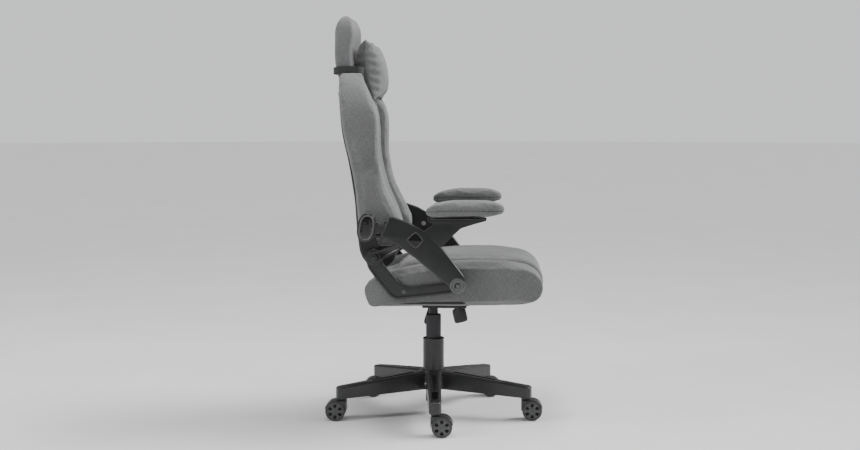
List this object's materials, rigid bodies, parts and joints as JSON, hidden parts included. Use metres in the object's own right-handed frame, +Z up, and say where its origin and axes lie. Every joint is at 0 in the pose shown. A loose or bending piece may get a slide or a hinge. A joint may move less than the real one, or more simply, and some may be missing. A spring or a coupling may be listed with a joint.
{
  "type": "gaming chair",
  "caption": "High-backed gaming chair on a five-legged caster base, with fabric cushions, a head pillow, a reclining back and armrests linked to it.",
  "frame": {"origin": "on the floor, under the middle of the star base", "axes": "+Z up, the sitter faces -Y, +X is the sitter's left"},
  "size_m": [0.6397, 0.6723, 1.24],
  "materials": {
    "base_nylon": "satin glass-filled nylon",
    "insert_gloss": "polished black",
    "wheel_nylon": "satin nylon, lighter tread",
    "steel_bright": "zinc plated",
    "steel_black": "black powder coat",
    "plywood": "raw plywood",
    "seat_fabric": "grey melange weave",
    "strap_elastic": "ribbed elastic webbing",
    "panel_black": "black lining fabric over a board",
    "arm_plastic": "fine textured charcoal"
  },
  "bodies": {
    "base": {"star_base": "base_nylon", "leg_inserts": "insert_gloss", "stem_sockets": "steel_bright", "column_tube": "steel_black", "guide_sleeve": "base_nylon", "thrust_bearing": "steel_bright", "cover_lower": "base_nylon"},
    "cover": {"cover_middle": "base_nylon"},
    "swivel": {"piston_rod": "steel_bright", "retaining_clip": "steel_bright"},
    "lift": {"gas_cylinder": "steel_black", "tilt_bracket": "steel_black"},
    "lever_slider": {"lever_sleeve": "base_nylon"},
    "lift_lever": {"lever_rod": "steel_black", "lever_handle": "base_nylon"},
    "seat": {"mechanism_box": "steel_black", "pivot_shaft": "steel_bright", "tension_bolt": "steel_bright", "tension_spring": "steel_bright", "seat_frame": "steel_black", "seat_board": "plywood", "seat_cushion": "seat_fabric", "seat_bolster_left": "seat_fabric", "seat_bolster_right": "seat_fabric", "seat_fasteners": "steel_bright", "arm_bracket_left": "arm_plastic", "arm_bracket_right": "arm_plastic"},
    "knob": {"tension_knob": "base_nylon"},
    "release_lever": {"recline_lever": "arm_plastic"},
    "back": {"back_frame": "steel_black", "back_cushion": "seat_fabric", "back_bolster_left": "seat_fabric", "back_bolster_right": "seat_fabric", "head_cushion": "seat_fabric", "back_panel": "panel_black", "link_pins": "steel_bright"},
    "pillow": {"head_pillow": "seat_fabric", "pillow_strap": "strap_elastic"},
    "arm_left_body": {"arm_left": "arm_plastic", "arm_pad_left": "seat_fabric", "arm_cap_left": "insert_gloss"},
    "link_left_body": {"link_left": "arm_plastic", "link_cap_left": "insert_gloss"},
    "guide_left_body": {"guide_bar_left": "arm_plastic"},
    "arm_right_body": {"arm_right": "arm_plastic", "arm_pad_right": "seat_fabric", "arm_cap_right": "insert_gloss"},
    "link_right_body": {"link_right": "arm_plastic", "link_cap_right": "insert_gloss"},
    "guide_right_body": {"guide_bar_right": "arm_plastic"},
    "caster_1_swivel": {"caster_1": "base_nylon"},
    "caster_1_axle": {"caster_wheels_1": "wheel_nylon"},
    "caster_2_swivel": {"caster_2": "base_nylon"},
    "caster_2_axle": {"caster_wheels_2": "wheel_nylon"},
    "caster_3_swivel": {"caster_3": "base_nylon"},
    "caster_3_axle": {"caster_wheels_3": "wheel_nylon"},
    "caster_4_swivel": {"caster_4": "base_nylon"},
    "caster_4_axle": {"caster_wheels_4": "wheel_nylon"},
    "caster_5_swivel": {"caster_5": "base_nylon"},
    "caster_5_axle": {"caster_wheels_5": "wheel_nylon"}
  },
  "joints": [
    {"name": "cover_slide", "type": "slide", "parent": "base", "child": "cover", "axis": [0, 0, 1], "range_m": [0, 0.06]},
    {"name": "seat_swivel", "type": "hinge", "parent": "base", "child": "swivel", "pos_m": [0, 0, 0.1], "axis": [0, 0, 1], "continuous": true},
    {"name": "height_lift", "type": "slide", "parent": "swivel", "child": "lift", "axis": [0, 0, 1], "range_m": [0, 0.08]},
    {"name": "seat_tilt", "type": "hinge", "parent": "lift", "child": "seat", "pos_m": [0, -0.05, 0.36], "axis": [-1, 0, 0], "range_deg": [0, 9], "stiffness_Nm_per_rad": 70, "springref_deg": -40.11, "deforming": ["tension_spring"]},
    {"name": "lever_pull", "type": "slide", "parent": "lift", "child": "lever_slider", "axis": [1, 0, 0], "range_m": [0, 0.012]},
    {"name": "lever_lift", "type": "hinge", "parent": "lever_slider", "child": "lift_lever", "pos_m": [0.052, 0, 0.3675], "axis": [0, -1, 0], "range_deg": [0, 3.8], "stiffness_Nm_per_rad": 2, "springref_deg": -17.19},
    {"name": "knob_turn", "type": "hinge", "parent": "seat", "child": "knob", "pos_m": [0, -0.078, 0.331], "axis": [0, 0.225, 0.9744], "range_deg": [-360, 360]},
    {"name": "recline", "type": "hinge", "parent": "seat", "child": "back", "pos_m": [0, 0.166, 0.522], "axis": [-1, 0, 0], "range_deg": [0, 37]},
    {"name": "recline_release", "type": "hinge", "parent": "seat", "child": "release_lever", "pos_m": [0, 0.117, 0.446], "axis": [-1, 0, 0], "range_deg": [0, 18], "stiffness_Nm_per_rad": 0.6, "springref_deg": -17.19},
    {"name": "pillow_slide", "type": "slide", "parent": "back", "child": "pillow", "axis": [0, 0.07, 0.9975], "range_m": [-0.02, 0]},
    {"name": "arm_left_pivot", "type": "hinge", "parent": "seat", "child": "arm_left_body", "pos_m": [0, -0.081, 0.444], "axis": [-1, 0, 0], "range_deg": [0, 4.4]},
    {"name": "link_left_slide", "type": "slide", "parent": "arm_left_body", "child": "link_left_body", "axis": [0, 0.969, 0.247], "range_m": [0, 0.041]},
    {"name": "guide_left_pivot", "type": "hinge", "parent": "seat", "child": "guide_left_body", "pos_m": [0, 0.166, 0.522], "axis": [-1, 0, 0], "range_deg": [-2.52, 0]},
    {"name": "arm_right_pivot", "type": "hinge", "parent": "seat", "child": "arm_right_body", "pos_m": [0, -0.081, 0.444], "axis": [-1, 0, 0], "range_deg": [0, 4.4]},
    {"name": "link_right_slide", "type": "slide", "parent": "arm_right_body", "child": "link_right_body", "axis": [0, 0.969, 0.247], "range_m": [0, 0.041]},
    {"name": "guide_right_pivot", "type": "hinge", "parent": "seat", "child": "guide_right_body", "pos_m": [0, 0.166, 0.522], "axis": [-1, 0, 0], "range_deg": [-2.52, 0]},
    {"name": "caster_1_turn", "type": "hinge", "parent": "base", "child": "caster_1_swivel", "pos_m": [-0.29655, -0.01627, 0.08], "axis": [0, 0, 1], "continuous": true},
    {"name": "caster_1_roll", "type": "hinge", "parent": "caster_1_swivel", "child": "caster_1_axle", "pos_m": [-0.29655, -0.03627, 0.0305], "axis": [1, 0, 0], "continuous": true},
    {"name": "caster_2_turn", "type": "hinge", "parent": "base", "child": "caster_2_swivel", "pos_m": [-0.07617, -0.28707, 0.08], "axis": [0, 0, 1], "continuous": true},
    {"name": "caster_2_roll", "type": "hinge", "parent": "caster_2_swivel", "child": "caster_2_axle", "pos_m": [-0.07617, -0.30707, 0.0305], "axis": [1, 0, 0], "continuous": true},
    {"name": "caster_3_turn", "type": "hinge", "parent": "base", "child": "caster_3_swivel", "pos_m": [0.24948, -0.16115, 0.08], "axis": [0, 0, 1], "continuous": true},
    {"name": "caster_3_roll", "type": "hinge", "parent": "caster_3_swivel", "child": "caster_3_axle", "pos_m": [0.24948, -0.18115, 0.0305], "axis": [1, 0, 0], "continuous": true},
    {"name": "caster_4_turn", "type": "hinge", "parent": "base", "child": "caster_4_swivel", "pos_m": [0.23036, 0.18747, 0.08], "axis": [0, 0, 1], "continuous": true},
    {"name": "caster_4_roll", "type": "hinge", "parent": "caster_4_swivel", "child": "caster_4_axle", "pos_m": [0.23036, 0.20747, 0.0305], "axis": [1, 0, 0], "continuous": true},
    {"name": "caster_5_turn", "type": "hinge", "parent": "base", "child": "caster_5_swivel", "pos_m": [-0.10711, 0.27701, 0.08], "axis": [0, 0, 1], "continuous": true},
    {"name": "caster_5_roll", "type": "hinge", "parent": "caster_5_swivel", "child": "caster_5_axle", "pos_m": [-0.10711, 0.29701, 0.0305], "axis": [1, 0, 0], "continuous": true}
  ],
  "couplings": [
    {"joint": "arm_left_pivot", "follows": "recline", "ratio": 0.11622},
    {"joint": "link_left_slide", "follows": "recline", "m_per_rad": 0.06194},
    {"joint": "guide_left_pivot", "follows": "recline", "ratio": -0.06541},
    {"joint": "arm_right_pivot", "follows": "recline", "ratio": 0.11622},
    {"joint": "link_right_slide", "follows": "recline", "m_per_rad": 0.06194},
    {"joint": "guide_right_pivot", "follows": "recline", "ratio": -0.06541}
  ]
}
